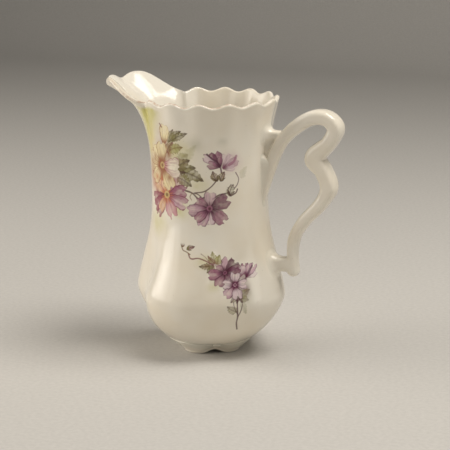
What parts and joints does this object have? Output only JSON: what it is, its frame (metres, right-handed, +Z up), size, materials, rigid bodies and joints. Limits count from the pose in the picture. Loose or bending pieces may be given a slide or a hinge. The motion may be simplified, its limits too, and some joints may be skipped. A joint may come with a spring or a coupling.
{
  "type": "porcelain jug",
  "caption": "Glazed porcelain pouring jug with a lobed belly on a low padded foot, a fluted neck with scalloped rim and broad lip, and a serpentine side handle.",
  "frame": {"origin": "on the table plane, under the middle of the jug's box from lip tip to handle", "axes": "+Z up, +X towards the handle, -X towards the pouring lip; the jug mirrors itself across the XZ plane, apart from the turn of its lobes and foot pads"},
  "size_m": [0.175, 0.1117, 0.191],
  "materials": {
    "glazed_porcelain": "clear gloss glaze",
    "slip_joint": "fired slip under clear gloss glaze"
  },
  "bodies": {
    "root": {"jug_body": "glazed_porcelain", "foot_ring": "glazed_porcelain", "handle": "glazed_porcelain", "foot_lute": "slip_joint", "upper_handle_lute": "slip_joint", "tail_lute": "slip_joint", "lower_handle_lute": "slip_joint"}
  },
  "joints": []
}
